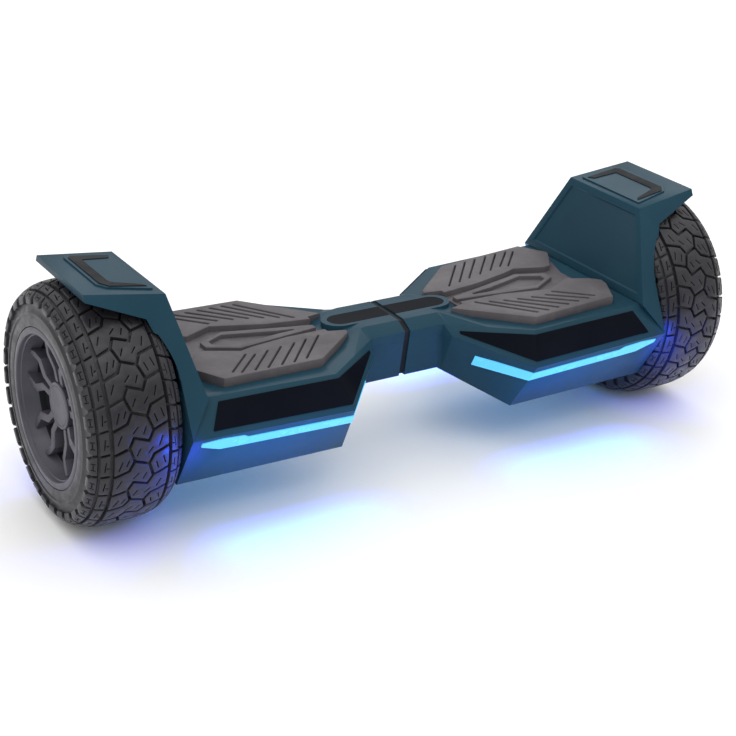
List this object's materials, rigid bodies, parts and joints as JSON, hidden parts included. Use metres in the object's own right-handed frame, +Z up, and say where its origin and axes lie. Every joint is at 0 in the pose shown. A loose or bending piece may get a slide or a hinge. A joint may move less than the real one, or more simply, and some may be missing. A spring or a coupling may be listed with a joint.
{
  "type": "self-balancing two-wheeled board",
  "caption": "Self-balancing board: two half bodies twisting about a centre pivot, wide lugged tyres under guards, rubber foot pads and lit strips.",
  "frame": {"origin": "on the floor, midway between the two tyres and under the centre pivot", "axes": "+X along the axle line towards the right wheel, +Z up, -Y towards the front face"},
  "size_m": [0.6872, 0.2194, 0.2275],
  "materials": {
    "teal_shell": "satin dark teal",
    "gloss_black": "high gloss black",
    "matte_black": "fine matte black",
    "light_blue": "lit translucent light guide",
    "pad_rubber": "matte warm grey",
    "tyre_rubber": "matte",
    "rim_grey": "satin",
    "cast_alloy": "as cast",
    "steel": "machined",
    "dark_steel": "black oxide",
    "bronze": "sintered",
    "motor_core": "lacquered windings",
    "circuit_board": "solder mask",
    "battery_wrap": "shrink wrap",
    "cable_black": "matte"
  },
  "bodies": {
    "left_half": {"left_chassis": "cast_alloy", "left_upper_shell": "teal_shell", "left_lower_shell": "teal_shell", "left_wheel_guard": "teal_shell", "left_front_panel": "gloss_black", "left_rear_panel": "gloss_black", "left_front_light": "light_blue", "left_rear_light": "light_blue", "left_led_boards": "circuit_board", "left_deck_inlay": "gloss_black", "left_guard_inlay": "matte_black", "left_sensor_board": "circuit_board", "left_axle_clamp": "cast_alloy", "left_clamp_bolts": "steel", "left_shell_screws": "dark_steel", "left_axle": "steel", "left_stator": "motor_core", "left_motor_cable": "cable_black", "pivot_shaft": "steel", "pivot_retainer": "steel", "centre_gasket": "matte_black", "battery_pack": "battery_wrap", "charge_socket": "matte_black"},
    "right_half": {"right_chassis": "cast_alloy", "right_upper_shell": "teal_shell", "right_lower_shell": "teal_shell", "right_wheel_guard": "teal_shell", "right_front_panel": "gloss_black", "right_rear_panel": "gloss_black", "right_front_light": "light_blue", "right_rear_light": "light_blue", "right_led_boards": "circuit_board", "right_deck_inlay": "gloss_black", "right_guard_inlay": "matte_black", "right_sensor_board": "circuit_board", "right_axle_clamp": "cast_alloy", "right_clamp_bolts": "steel", "right_shell_screws": "dark_steel", "right_axle": "steel", "right_stator": "motor_core", "right_motor_cable": "cable_black", "pivot_bushes": "bronze", "main_board": "circuit_board"},
    "left_wheel": {"left_tyre": "tyre_rubber", "left_rim": "rim_grey", "left_hub_cap": "rim_grey", "left_motor_cover": "cast_alloy", "left_magnets": "steel", "left_wheel_bearings": "steel"},
    "right_wheel": {"right_tyre": "tyre_rubber", "right_rim": "rim_grey", "right_hub_cap": "rim_grey", "right_motor_cover": "cast_alloy", "right_magnets": "steel", "right_wheel_bearings": "steel"},
    "left_pad": {"left_foot_pad": "pad_rubber"},
    "right_pad": {"right_foot_pad": "pad_rubber"},
    "power_button": {"power_button": "matte_black"},
    "charge_cap": {"charge_cap": "matte_black"}
  },
  "joints": [
    {"name": "centre_twist", "type": "hinge", "parent": "left_half", "child": "right_half", "pos_m": [0, 0, 0.108], "axis": [1, 0, 0], "range_deg": [-12, 12]},
    {"name": "left_wheel_spin", "type": "hinge", "parent": "left_half", "child": "left_wheel", "pos_m": [-0.3016, 0, 0.108], "axis": [1, 0, 0], "continuous": true},
    {"name": "right_wheel_spin", "type": "hinge", "parent": "right_half", "child": "right_wheel", "pos_m": [0.3016, 0, 0.108], "axis": [1, 0, 0], "continuous": true},
    {"name": "left_pad_press", "type": "slide", "parent": "left_half", "child": "left_pad", "axis": [0.0349, 0, 0.9994], "range_m": [-0.002, 0], "stiffness_N_per_m": 8000},
    {"name": "right_pad_press", "type": "slide", "parent": "right_half", "child": "right_pad", "axis": [-0.0349, 0, 0.9994], "range_m": [-0.002, 0], "stiffness_N_per_m": 8000},
    {"name": "power_button_press", "type": "slide", "parent": "left_half", "child": "power_button", "axis": [-0.0173, 0.8685, -0.4954], "range_m": [-0.001, 0], "stiffness_N_per_m": 400},
    {"name": "charge_cap_hinge", "type": "hinge", "parent": "left_half", "child": "charge_cap", "pos_m": [-0.19014, 0.09773, 0.08065], "axis": [0.9994, 0, -0.0349], "range_deg": [0, 110]}
  ]
}
